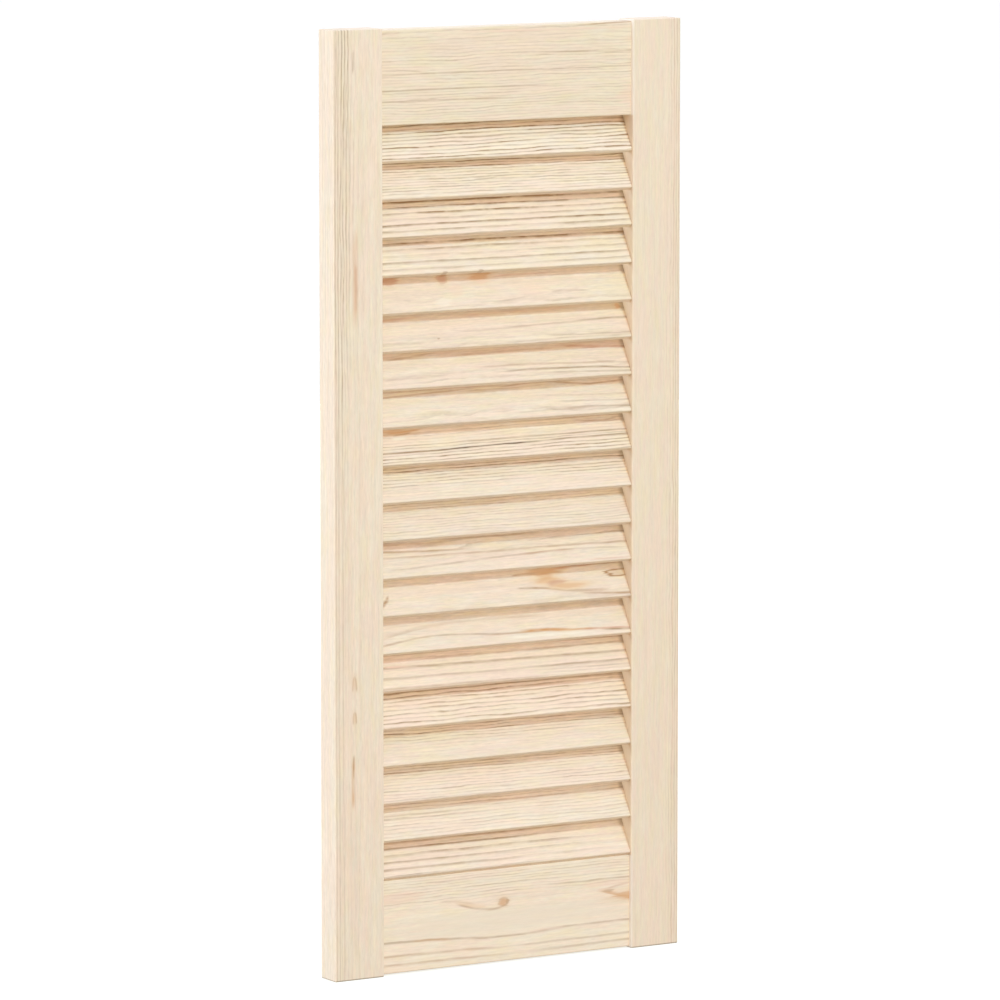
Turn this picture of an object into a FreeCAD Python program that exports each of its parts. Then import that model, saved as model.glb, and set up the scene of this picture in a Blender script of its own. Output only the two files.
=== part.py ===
import FreeCAD, Part

import os

import Sketcher
from FreeCAD import Placement, Rotation, Vector

# Louvred cabinet door: two stiles, two rails, fixed slats in slanted blind housings, dowelled corners.
# Frame: X across the door, Y from the front (-Y) to the back, Z up, origin under the middle of the door.

# Driving dimensions in millimetres, with the slat's lean in degrees.
DIMENSIONS = [
    ("door_height", 690, "overall height, also the length of a stile"),
    ("door_width", 294, "overall width"),
    ("door_thickness", 21, "overall thickness, also that of a stile"),
    ("stile_width", 41, "width of a stile's face"),
    ("stile_arris", 1, "rounding of a stile's long edges"),
    ("stile_end_arris", 0.5, "bevel round a stile's two ends"),
    ("rail_height", 69, "height of a rail's face"),
    ("rail_setback", 3, "step from a stile's face back to a rail's face"),
    ("rail_shortfall", 1, "step from a stile's end in to a rail's outer edge"),
    ("rail_arris", 1, "rounding of a rail's long edges"),
    ("slat_thickness", 5, "thickness of a slat"),
    ("slat_angle", 61, "lean of a slat above the horizontal, front edge low"),
    ("slat_edge_radius", 0.8, "rounding of a slat's long edges"),
    ("slat_margin", 0.55, "flat left on a stile's edge between its arris and a slat"),
    ("slat_count", 20, "number of slats, spread evenly over the opening"),
    ("slat_end_gap", 0.2, "gap from an outermost slat to its rail"),
    ("housing_depth", 8, "depth of a slat's housing in a stile"),
    ("housing_clearance", 0.15, "room round a slat in its housing"),
    ("housing_end_gap", 0.5, "room at a slat's end in its housing"),
    ("dowel_diameter", 8, "diameter of a corner dowel"),
    ("dowel_length", 40, "length of a corner dowel, half of it in the stile"),
    ("dowel_chamfer", 1, "bevel at a dowel's ends"),
    ("dowel_margin", 17, "height from a rail's edge to the middle of its nearer dowel"),
    ("dowel_clearance", 0.1, "room across a dowel in its hole"),
    ("dowel_end_gap", 1, "room for glue at a dowel's end"),
]

# Sizes worked out from the driving dimensions.
DERIVED = [
    ("opening_width", "Dimensions.door_width - 2 * Dimensions.stile_width"),
    ("opening_bottom", "Dimensions.rail_shortfall + Dimensions.rail_height"),
    ("opening_height", "Dimensions.door_height - 2 * opening_bottom"),
    ("rail_thickness", "Dimensions.door_thickness - 2 * Dimensions.rail_setback"),
    ("rail_middle", "Dimensions.rail_shortfall + Dimensions.rail_height / 2"),
    ("slat_round", "min(Dimensions.slat_edge_radius; 0.45 * Dimensions.slat_thickness)"),
    ("slat_rise_share", "sin(Dimensions.slat_angle * 1 deg)"),
    ("slat_run_share", "cos(Dimensions.slat_angle * 1 deg)"),
    ("slat_flat_thickness", "Dimensions.slat_thickness - 2 * slat_round"),
    ("slat_depth", "Dimensions.door_thickness - 2 * (Dimensions.stile_arris + Dimensions.slat_margin)"),
    (
        "slat_flat_width",
        "(slat_depth - 2 * slat_round - slat_flat_thickness * slat_rise_share) / slat_run_share",
    ),
    ("slat_width", "slat_flat_width + 2 * slat_round"),
    (
        "slat_rise",
        "slat_flat_width * slat_rise_share + slat_flat_thickness * slat_run_share + 2 * slat_round",
    ),
    ("slat_span", "opening_height - slat_rise - 2 * Dimensions.slat_end_gap"),
    ("slat_spacing", "slat_span / (Dimensions.slat_count - 1)"),
    ("slat_first", "opening_bottom + Dimensions.slat_end_gap + slat_rise / 2"),
    ("slat_length", "opening_width + 2 * (Dimensions.housing_depth - Dimensions.housing_end_gap)"),
    ("housing_width", "slat_width + 2 * Dimensions.housing_clearance"),
    ("housing_thickness", "Dimensions.slat_thickness + 2 * Dimensions.housing_clearance"),
    ("housing_cut", "(2 - sqrt(2)) * (slat_round + Dimensions.housing_clearance)"),
    ("dowel_low", "Dimensions.rail_shortfall + Dimensions.dowel_margin"),
    ("dowel_spacing", "Dimensions.rail_height - 2 * Dimensions.dowel_margin"),
    ("dowel_high", "dowel_low + dowel_spacing"),
    ("dowel_hole", "Dimensions.dowel_diameter + Dimensions.dowel_clearance"),
    ("dowel_hole_depth", "Dimensions.dowel_length / 2 + Dimensions.dowel_end_gap"),
    ("rail_distance", "Dimensions.door_height - 2 * rail_middle"),
]

# How a sketch numbers its own two axes, and the points of a line, arc or circle.
HORIZONTAL_AXIS, VERTICAL_AXIS = range(-1, -3, -1)
START, END, CENTRE = range(1, 4)
SKETCH_ORIGIN = (HORIZONTAL_AXIS, START)

# Tests on finished edges: how near two heights, and two directions, count as the same.
SAME_HEIGHT = 1e-6
SAME_DIRECTION = 0.999

doc = FreeCAD.newDocument("louvred_cabinet_door")


def fill_sheets():
    """Put the driving dimensions in one sheet and the sizes that follow from them in another."""
    dimensions = doc.addObject("Spreadsheet::Sheet", "Dimensions")
    for row, (name, value, note) in enumerate(DIMENSIONS, start=1):
        dimensions.set(f"A{row}", name)
        dimensions.set(f"B{row}", str(value))
        dimensions.set(f"C{row}", note)
        dimensions.setAlias(f"B{row}", name)
    derived = doc.addObject("Spreadsheet::Sheet", "Derived")
    for row, (name, formula) in enumerate(DERIVED, start=1):
        derived.set(f"A{row}", name)
        derived.setAlias(f"B{row}", name)
        derived.set(f"B{row}", f"={formula}")
    doc.recompute()
    return dimensions


def new_body(label, place):
    """Start a body, placed by an expression for each axis that it is moved along."""
    body = doc.addObject("PartDesign::Body", label)
    body.Label = label
    for axis, expression in place.items():
        body.setExpression(f"Placement.Base.{axis}", expression)
    return body


def datum(body, role):
    """Find one of the body's own origin planes or axes."""
    return next(item for item in body.Origin.OriginFeatures if item.Role == role)


def new_sketch(body, name, plane):
    """Start a sketch on one of the body's own origin planes."""
    sketch = body.newObject("Sketcher::SketchObject", f"{body.Label}_{name}")
    sketch.AttachmentSupport = [(datum(body, plane), "")]
    sketch.MapMode = "FlatFace"
    return sketch


def size(sketch, name, expression, *reference):
    """Add one dimension to a sketch and bind it to the sheets."""
    index = sketch.addConstraint(Sketcher.Constraint(*reference))
    sketch.renameConstraint(index, name)
    sketch.setExpression(f"Constraints.{name}", expression)


def draw_rectangle(sketch, width, height, side=0):
    """Draw a rectangle about the origin, or with side -1 or 1 beside the vertical axis."""
    left, right = {-1: (-2, 0), 0: (-1, 1), 1: (0, 2)}[side]
    corners = [Vector(left, -1), Vector(right, -1), Vector(right, 1), Vector(left, 1)]
    lines = [Part.LineSegment(corners[i], corners[(i + 1) % 4]) for i in range(4)]
    sketch.addGeometry(lines, False)
    for i in range(4):
        sketch.addConstraint(Sketcher.Constraint("Coincident", i, END, (i + 1) % 4, START))
    for i in (0, 2):
        sketch.addConstraint(Sketcher.Constraint("Horizontal", i))
        sketch.addConstraint(Sketcher.Constraint("Vertical", i + 1))
    # The point halfway between these two lies on the origin.
    held = {-1: (1, START, 1, END), 0: (0, START, 2, START), 1: (3, START, 3, END)}[side]
    sketch.addConstraint(Sketcher.Constraint("Symmetric", *held, *SKETCH_ORIGIN))
    size(sketch, "width", width, "DistanceX", 0, START, 0, END, right - left)
    size(sketch, "height", height, "DistanceY", 1, START, 1, END, 2)


def draw_slat_outline(sketch, width, thickness, corner, rounded):
    """Draw a leaning rectangle about the origin, its corners rounded or cut straight across."""
    sketch.AttachmentOffset = Placement(Vector(), Rotation(Vector(0, 0, 1), 45))
    sketch.setExpression("AttachmentOffset.Rotation.Angle", "Dimensions.slat_angle * 1 deg")

    # A rough outline to start from: the sizes bound to it at the end make it the real one.
    flat_width, flat_thickness, cut = 12, 2, 1
    half_width, half_thickness = flat_width + cut, flat_thickness + cut
    sides = [
        Part.LineSegment(Vector(-flat_width, -half_thickness), Vector(flat_width, -half_thickness)),
        Part.LineSegment(Vector(half_width, -flat_thickness), Vector(half_width, flat_thickness)),
        Part.LineSegment(Vector(flat_width, half_thickness), Vector(-flat_width, half_thickness)),
        Part.LineSegment(Vector(-half_width, flat_thickness), Vector(-half_width, -flat_thickness)),
    ]
    sketch.addGeometry(sides, False)
    for i, (across, up) in enumerate([(1, -1), (1, 1), (-1, 1), (-1, -1)]):
        before, after = sides[i].EndPoint, sides[(i + 1) % 4].StartPoint
        centre = Vector(across * flat_width, up * flat_thickness)
        bulge = centre + cut * Vector(across, up).normalize()
        corner_line = Part.Arc(before, bulge, after) if rounded else Part.LineSegment(before, after)
        sketch.addGeometry(corner_line, False)

    # The sides are lines 0 to 3, and each is followed by its corner, 4 to 7.
    joint = "Tangent" if rounded else "Coincident"
    for i in range(4):
        sketch.addConstraint(Sketcher.Constraint(joint, i, END, 4 + i, START))
        sketch.addConstraint(Sketcher.Constraint(joint, 4 + i, END, (i + 1) % 4, START))
    for i in (0, 2):
        sketch.addConstraint(Sketcher.Constraint("Horizontal", i))
        sketch.addConstraint(Sketcher.Constraint("Vertical", i + 1))
    for i in (5, 6, 7):
        sketch.addConstraint(Sketcher.Constraint("Equal", 4, i))
    sketch.addConstraint(Sketcher.Constraint("Symmetric", 0, START, 2, START, *SKETCH_ORIGIN))
    size(sketch, "width", width, "DistanceX", 3, START, 1, START, 2 * half_width)
    size(sketch, "thickness", thickness, "DistanceY", 0, START, 2, START, 2 * half_thickness)
    if rounded:
        size(sketch, "radius", corner, "Radius", 4, cut)
        return
    for i in (5, 6, 7):
        sketch.addConstraint(Sketcher.Constraint("Perpendicular", i - 1, i))
    size(sketch, "cut_across", corner, "DistanceX", 4, START, 4, END, cut)
    size(sketch, "cut_up", corner, "DistanceY", 4, START, 4, END, cut)


def draw_dowel_circles(sketch, diameter, heights):
    """Draw one circle on the vertical axis at each height."""
    for i, height in enumerate(heights):
        sketch.addGeometry(Part.Circle(Vector(0, i), Vector(0, 0, 1), 1), False)
        sketch.addConstraint(Sketcher.Constraint("PointOnObject", i, CENTRE, VERTICAL_AXIS))
        size(sketch, f"diameter_{i}", diameter, "Diameter", i, 2)
        if height:
            size(sketch, f"height_{i}", height, "DistanceY", *SKETCH_ORIGIN, i, CENTRE, i)
        else:
            sketch.addConstraint(Sketcher.Constraint("PointOnObject", i, CENTRE, HORIZONTAL_AXIS))


def pad(body, sketch, length, symmetric):
    """Pad a sketch, to both sides alike or along its normal."""
    feature = body.newObject("PartDesign::Pad", f"{sketch.Name}_pad")
    feature.Profile = sketch
    feature.SideType = "Symmetric" if symmetric else "One side"
    feature.setExpression("Length", length)
    doc.recompute()
    return feature


def pocket(body, sketch, depth, along_normal):
    """Cut a sketch to a depth, and make sure that it takes material away."""
    before = body.Tip.Shape.Volume
    feature = body.newObject("PartDesign::Pocket", f"{sketch.Name}_pocket")
    feature.Profile = sketch
    feature.Reversed = along_normal
    feature.setExpression("Length", depth)
    doc.recompute()
    if not feature.Shape.Volume < before:
        raise RuntimeError(f"{feature.Name} cuts nothing")
    return feature


def edges_of(feature, wanted):
    """Name the edges of a feature that pass a test."""
    return [f"Edge{i}" for i, edge in enumerate(feature.Shape.Edges, start=1) if wanted(edge)]


def runs_along(axis):
    """Test for straight edges that run along one axis."""

    def wanted(edge):
        is_line = edge.Curve.TypeId == "Part::GeomLine"
        return is_line and abs(edge.tangentAt(edge.FirstParameter).dot(axis)) > SAME_DIRECTION

    return wanted


def dress(body, kind, edges, sizes):
    """Round or bevel edges of the body's latest feature."""
    base = body.Tip
    feature = body.newObject(f"PartDesign::{kind}", f"{body.Label}_{kind.lower()}")
    feature.Base = (base, edges_of(base, edges))
    for name, expression in sizes.items():
        feature.setExpression(name, expression)
    doc.recompute()
    return feature


def make_stile(label, side):
    """Make an upright: side is -1 for the left one and 1 for the right one."""
    edge_x = "Derived.opening_width / 2"
    body = new_body(label, {"x": edge_x if side > 0 else f"-{edge_x}"})
    section = new_sketch(body, "section", "XY_Plane")
    draw_rectangle(section, "Dimensions.stile_width", "Dimensions.door_thickness", side)
    pad(body, section, "Dimensions.door_height", symmetric=False)
    dress(body, "Fillet", runs_along(Vector(0, 0, 1)), {"Radius": "Dimensions.stile_arris"})
    ends = (body.Tip.Shape.BoundBox.ZMin, body.Tip.Shape.BoundBox.ZMax)

    def at_an_end(edge):
        low, high = edge.BoundBox.ZMin, edge.BoundBox.ZMax
        return any(max(abs(low - end), abs(high - end)) < SAME_HEIGHT for end in ends)

    dress(body, "Chamfer", at_an_end, {"Size": "Dimensions.stile_end_arris"})

    # Dowel holes, two against each rail.
    holes = new_sketch(body, "dowel_holes", "YZ_Plane")
    low, high = "Derived.dowel_low", "Derived.dowel_high"
    heights = [low, high, f"Dimensions.door_height - {high}", f"Dimensions.door_height - {low}"]
    draw_dowel_circles(holes, "Derived.dowel_hole", heights)
    pocket(body, holes, "Derived.dowel_hole_depth", along_normal=side > 0)

    # One slanted housing, then the whole ladder of them.
    housing = new_sketch(body, "housing", "YZ_Plane")
    outline = ("Derived.housing_width", "Derived.housing_thickness", "Derived.housing_cut")
    draw_slat_outline(housing, *outline, rounded=False)
    housing.setExpression("AttachmentOffset.Base.y", "Derived.slat_first")
    first = pocket(body, housing, "Dimensions.housing_depth", along_normal=side > 0)
    ladder = body.newObject("PartDesign::LinearPattern", f"{label}_housings")
    ladder.Originals = [first]
    ladder.Direction = (datum(body, "Z_Axis"), [""])
    ladder.setExpression("Length", "Derived.slat_span")
    ladder.setExpression("Occurrences", "Dimensions.slat_count")
    body.Tip = ladder
    doc.recompute()
    return body


def make_rail(label, height):
    """Make a cross rail whose middle lies at a height."""
    body = new_body(label, {"z": height})
    section = new_sketch(body, "section", "YZ_Plane")
    draw_rectangle(section, "Derived.rail_thickness", "Dimensions.rail_height")
    pad(body, section, "Derived.opening_width", symmetric=True)
    dress(body, "Fillet", runs_along(Vector(1, 0, 0)), {"Radius": "Dimensions.rail_arris"})

    # Dowel holes in the right end, then the same in the left end.
    holes = new_sketch(body, "dowel_holes", "YZ_Plane")
    holes.setExpression("AttachmentOffset.Base.z", "Derived.opening_width / 2")
    spread = "Derived.dowel_spacing / 2"
    draw_dowel_circles(holes, "Derived.dowel_hole", [f"-{spread}", spread])
    right_holes = pocket(body, holes, "Derived.dowel_hole_depth", along_normal=False)
    both_ends = body.newObject("PartDesign::Mirrored", f"{label}_both_ends")
    both_ends.Originals = [right_holes]
    both_ends.MirrorPlane = (datum(body, "YZ_Plane"), [""])
    body.Tip = both_ends
    doc.recompute()
    return body


def make_slat(label, index):
    """Make one slat: index counts from 0 at the bottom."""
    body = new_body(label, {"z": f"Derived.slat_first + {index} * Derived.slat_spacing"})
    section = new_sketch(body, "section", "YZ_Plane")
    outline = ("Derived.slat_width", "Dimensions.slat_thickness", "Derived.slat_round")
    draw_slat_outline(section, *outline, rounded=True)
    pad(body, section, "Derived.slat_length", symmetric=True)
    return body


def make_dowels(label):
    """Make the eight dowels as one group: the lowest left one, repeated along X and Z."""
    place = {"x": "-Derived.opening_width / 2", "z": "Derived.dowel_low"}
    body = new_body(label, place)
    section = new_sketch(body, "section", "YZ_Plane")
    draw_dowel_circles(section, "Dimensions.dowel_diameter", [None])
    pad(body, section, "Dimensions.dowel_length", symmetric=True)

    def is_rim(edge):
        return edge.Curve.TypeId == "Part::GeomCircle"

    dress(body, "Chamfer", is_rim, {"Size": "Dimensions.dowel_chamfer"})
    repeats = [
        ("pair", "Z_Axis", "Derived.dowel_spacing"),
        ("both_rails", "Z_Axis", "Derived.rail_distance"),
        ("both_stiles", "X_Axis", "Derived.opening_width"),
    ]
    for name, axis, length in repeats:
        pattern = body.newObject("PartDesign::LinearPattern", f"{label}_{name}")
        pattern.TransformMode = "Whole shape"
        pattern.Direction = (datum(body, axis), [""])
        pattern.setExpression("Length", length)
        body.Tip = pattern
        doc.recompute()
    return body


def check(nodes):
    """Stop if any object failed or any node's shape is missing or bad."""
    for item in doc.Objects:
        if {"Invalid", "Error"} & set(item.State):
            raise RuntimeError(f"{item.Label} failed: {item.State}")
    for node in nodes:
        if node.Shape.isNull() or not node.Shape.isValid():
            raise RuntimeError(f"{node.Label} has no valid shape")


dimensions = fill_sheets()
nodes = [
    make_stile("left_stile", -1),
    make_stile("right_stile", 1),
    make_rail("bottom_rail", "Derived.rail_middle"),
    make_rail("top_rail", "Dimensions.door_height - Derived.rail_middle"),
    make_dowels("corner_dowels"),
]
nodes += [make_slat(f"slat_{i + 1:02d}", i) for i in range(round(dimensions.slat_count))]
doc.recompute()
check(nodes)
os.makedirs("parts", exist_ok=True)
for node in nodes:
    node.Shape.exportStep(f"parts/{node.Label}.step")
    box = node.Shape.BoundBox
    print(
        f"{node.Label}: {len(node.Shape.Solids)} solid(s), {node.Shape.Volume / 1000:.1f} cm3,"
        f" x {box.XMin:.2f}..{box.XMax:.2f}"
        f" y {box.YMin:.2f}..{box.YMax:.2f}"
        f" z {box.ZMin:.2f}..{box.ZMax:.2f}"
    )
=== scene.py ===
import math
from dataclasses import dataclass, field

import bpy
from mathutils import Matrix, Vector


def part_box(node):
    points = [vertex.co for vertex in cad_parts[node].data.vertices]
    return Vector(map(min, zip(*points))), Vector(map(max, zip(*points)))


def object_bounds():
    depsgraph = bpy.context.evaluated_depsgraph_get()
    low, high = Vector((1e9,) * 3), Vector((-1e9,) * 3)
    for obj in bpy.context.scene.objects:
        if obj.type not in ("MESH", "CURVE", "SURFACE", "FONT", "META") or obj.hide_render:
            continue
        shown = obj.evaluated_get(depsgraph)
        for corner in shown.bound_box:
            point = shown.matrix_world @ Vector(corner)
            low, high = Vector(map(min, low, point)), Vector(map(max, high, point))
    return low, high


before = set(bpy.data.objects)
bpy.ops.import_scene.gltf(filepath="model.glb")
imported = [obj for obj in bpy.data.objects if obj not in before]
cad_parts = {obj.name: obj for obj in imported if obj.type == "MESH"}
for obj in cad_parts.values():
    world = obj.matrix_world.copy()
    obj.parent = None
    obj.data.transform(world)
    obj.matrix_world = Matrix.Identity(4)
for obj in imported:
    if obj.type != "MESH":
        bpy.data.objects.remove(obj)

# Looks of a louvred cabinet door in bare pine, standing on a plain white floor.
# Metres, in the frame of the solids: X across the door, Y from the front (-Y) to the back, Z up.
# Grain is laid out in millimetres from each board's middle: along it, across its face and through it.

cad_low, cad_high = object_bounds()
scene = bpy.context.scene
MM = 0.001


def size_of(name):
    """Size of a solid along X, Y and Z, in millimetres."""
    low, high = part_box(name)
    return (high - low) / MM


# Sizes of the door that the grain is laid out on, in millimetres.
DOOR_WIDTH, _, DOOR_HEIGHT = (cad_high - cad_low) / MM
STILE_WIDTH, STILE_THICKNESS, _ = size_of("left_stile")
_, RAIL_THICKNESS, RAIL_HEIGHT = size_of("top_rail")
OPENING_HALF_HEIGHT = (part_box("top_rail")[0].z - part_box("bottom_rail")[1].z) / 2 / MM
OPENING_HALF_WIDTH = DOOR_WIDTH / 2 - STILE_WIDTH

# The slats' own section, which their boxes do not tell.
SLAT_WIDTH = 29.08
SLAT_THICKNESS = 5
SLAT_ANGLE = math.radians(61)
SLAT_COUNT = 20


def paint(red, green, blue):
    """Turn a display colour of 0 to 255 into the linear colour that sockets take."""

    def linear(value):
        share = value / 255
        return share / 12.92 if share <= 0.04045 else ((share + 0.055) / 1.055) ** 2.4

    return (linear(red), linear(green), linear(blue), 1)


# Colours of pine.
STRAW_WOOD = paint(244, 229, 195)
PALE_WOOD = paint(243, 231, 208)
PINK_WOOD = paint(248, 222, 202)
LATEWOOD = paint(168, 137, 101)
DARK_LINE = paint(116, 94, 66)
BROWN = paint(182, 142, 102)
REDDISH = paint(206, 152, 122)
KNOT = paint(222, 174, 126)
ORANGE = paint(214, 160, 108)
STAIN = paint(237, 204, 160)
PINK_PATCH = paint(248, 214, 192)
# The painted shade on a stile's inner side between the slats.
SIDE_SHADE = paint(206, 175, 133)
PALE_ARRIS = paint(250, 238, 216)
# The painted highlight on a stile's inner arris beside the rails.
ARRIS_HIGHLIGHT = paint(255, 251, 243)
BEECH = paint(222, 184, 146)
BEECH_FLECK = paint(176, 126, 88)


class Nodes:
    """Short calls that add nodes to one node tree."""

    def __init__(self, tree):
        self.tree = tree

    def add(self, kind, **settings):
        node = self.tree.nodes.new(kind)
        for name, value in settings.items():
            setattr(node, name, value)
        return node

    def feed(self, socket, value):
        """Link a value that varies to a socket, or set one that does not."""
        if isinstance(value, bpy.types.NodeSocket):
            self.tree.links.new(value, socket)
        else:
            socket.default_value = value

    def maths(self, operation, *values):
        node = self.add("ShaderNodeMath", operation=operation)
        for socket, value in zip(node.inputs, values):
            self.feed(socket, value)
        return node.outputs[0]

    def plus(self, first, second):
        return self.maths("ADD", first, second)

    def minus(self, first, second):
        return self.maths("SUBTRACT", first, second)

    def times(self, first, second):
        return self.maths("MULTIPLY", first, second)

    def length(self, first, second):
        """Length of the hypotenuse over two sides."""
        return self.maths("SQRT", self.plus(self.times(first, first), self.times(second, second)))

    def fade(self, value, start, end):
        """Go smoothly from 0 at start to 1 at end."""
        node = self.add("ShaderNodeMapRange", interpolation_type="SMOOTHSTEP")
        self.feed(node.inputs["Value"], value)
        self.feed(node.inputs["From Min"], start)
        self.feed(node.inputs["From Max"], end)
        return node.outputs["Result"]

    def between(self, value, low, high):
        """Turn a value of 0 to 1 into one of low to high."""
        return self.maths("MULTIPLY_ADD", value, high - low, low)

    def split(self, vector):
        node = self.add("ShaderNodeSeparateXYZ")
        self.feed(node.inputs[0], vector)
        return node.outputs

    def join(self, *values):
        node = self.add("ShaderNodeCombineXYZ")
        for socket, value in zip(node.inputs, values):
            self.feed(socket, value)
        return node.outputs[0]

    def vectors(self, operation, first, second):
        node = self.add("ShaderNodeVectorMath", operation=operation)
        self.feed(node.inputs[0], first)
        self.feed(node.inputs[1], second)
        return node.outputs[0]

    def stretch(self, vector, repeats, seed):
        """Scale coordinates by repeats along and across, moved by a seed so that boards differ."""
        along, across = repeats
        scaled = self.vectors("MULTIPLY", vector, (along, across, across))
        return self.vectors("ADD", scaled, seed)

    def noise(self, vector, detail=1, roughness=0.5):
        node = self.add("ShaderNodeTexNoise")
        self.feed(node.inputs["Vector"], vector)
        node.inputs["Scale"].default_value = 1
        node.inputs["Detail"].default_value = detail
        node.inputs["Roughness"].default_value = roughness
        return node.outputs[0]

    def noise_about_zero(self, vector, detail=1, roughness=0.5):
        return self.minus(self.noise(vector, detail, roughness), 0.5)

    def patchy(self, vector, start, end, low, high=1):
        """Noise that lies at low up to start, at high from end on, and goes smoothly between."""
        return self.between(self.fade(self.noise(vector, detail=2), start, end), low, high)

    def mix(self, share, first, second, blend="MIX"):
        node = self.add("ShaderNodeMix", data_type="RGBA", blend_type=blend)
        self.feed(node.inputs[0], share)
        self.feed(node.inputs[6], first)
        self.feed(node.inputs[7], second)
        return node.outputs[2]


def start_group(name, inputs, outputs):
    """Start a node group with named sockets."""
    tree = bpy.data.node_groups.new(name, "ShaderNodeTree")
    for socket, kind in inputs.items():
        tree.interface.new_socket(socket, in_out="INPUT", socket_type=kind)
    for socket, kind in outputs.items():
        tree.interface.new_socket(socket, in_out="OUTPUT", socket_type=kind)
    return tree


VALUE, VECTOR, COLOUR = "NodeSocketFloat", "NodeSocketVector", "NodeSocketColor"
PITH_VALUES = ("Pith across", "Pith depth", "Drift", "Ring width", "Shift", "Wander")
GRAIN_VALUES = PITH_VALUES + ("Lines", "Pink", "Pale", "Tone", "Contrast")

# Where each ring's latewood starts, is darkest and stops, as a part of the ring.
LATEWOOD_START = 0.42
LATEWOOD_FULL = 0.87
LATEWOOD_STOP = 0.91

# How often each kind of unevenness repeats along and across a board, per millimetre.
SLOW_BENDS = (0.008, 0.02)
QUICK_BENDS = (0.03, 0.12)
FIBRES = (0.045, 0.75)
DASHES = (0.16, 0.9)
FINE_STREAKS = (0.008, 0.3)
FLECKS = (0.14, 3.2)
BLOTCHES = (0.016, 0.08)
PATCHES = (0.05, 0.2)
UNEVEN_LINES = (0.06, 0.35)
WISPS = (0.05, 0.7)

# How often lines come and go and break off along a ring, and the step from one ring to the next.
SLOW_CHANGES = (0.022, 5.3)
QUICK_CHANGES = (0.09, 7.7)

# How strongly the grain's bends, fibres and flecks show, and between which values things fade in.
SLOW_BEND = 2
QUICK_BEND = 2.2
RING_BOLDNESS = (0.55, 1.15)
CROSSING_FADE = (0.05, 0.4)
FLECK_FADE = (0.66, 0.78)
PINK_FADE = (0.4, 0.6)
PINK_SHARE = 0.5
PATCH_CONTRAST = 3
FIBRE_SHADE = 0.24
STREAK_SHADE = 0.16
DASH_SHADE = 0.2
FLECK_STRENGTH = 0.2


def add_rings(nodes, board, given):
    """Latewood lines of the rings about a pith that leans and wanders along the board.

    Returns the lines' strength and how far they wander."""
    along, across, depth = nodes.split(board)
    seed = given["Seed"]
    slow = nodes.noise_about_zero(nodes.stretch(board, SLOW_BENDS, seed), detail=1)
    quick = nodes.noise_about_zero(nodes.stretch(board, QUICK_BENDS, seed), detail=3)
    bends = nodes.plus(nodes.times(slow, SLOW_BEND), nodes.times(quick, QUICK_BEND))
    wander = nodes.times(bends, given["Wander"])
    pith_across = nodes.maths("MULTIPLY_ADD", along, given["Drift"], given["Pith across"])
    aside = nodes.minus(across, pith_across)
    radius = nodes.length(aside, nodes.minus(depth, given["Pith depth"]))
    steepness = nodes.maths("DIVIDE", nodes.maths("ABSOLUTE", aside), radius)
    radius = nodes.plus(radius, wander)

    # Each ring darkens slowly through its latewood, and stops sharply.
    ring = nodes.plus(nodes.maths("DIVIDE", radius, given["Ring width"]), given["Shift"])
    number = nodes.maths("FLOOR", ring)
    part = nodes.maths("FRACT", ring)
    darkening = nodes.fade(part, LATEWOOD_START, LATEWOOD_FULL)
    latewood = nodes.times(darkening, nodes.fade(part, 1, LATEWOOD_STOP))

    # Rings differ in boldness, come and go, break off, and pale where the face lies along them.
    chance = nodes.add("ShaderNodeTexWhiteNoise", noise_dimensions="3D")
    nodes.feed(chance.inputs["Vector"], nodes.vectors("ADD", nodes.join(number, number, number), seed))
    boldness = nodes.between(chance.outputs["Value"], *RING_BOLDNESS)

    def on_ring(repeats, step):
        return nodes.join(nodes.times(along, repeats), nodes.times(number, step), 0)

    come_and_go = nodes.patchy(on_ring(*SLOW_CHANGES), 0.3, 0.64, low=0.3)
    breaks = nodes.patchy(on_ring(*QUICK_CHANGES), 0.32, 0.6, low=0.55)
    crossing = nodes.fade(steepness, *CROSSING_FADE)
    line = nodes.times(nodes.times(latewood, crossing), nodes.times(boldness, come_and_go))
    return nodes.times(nodes.times(line, breaks), given["Lines"]), wander


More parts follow.
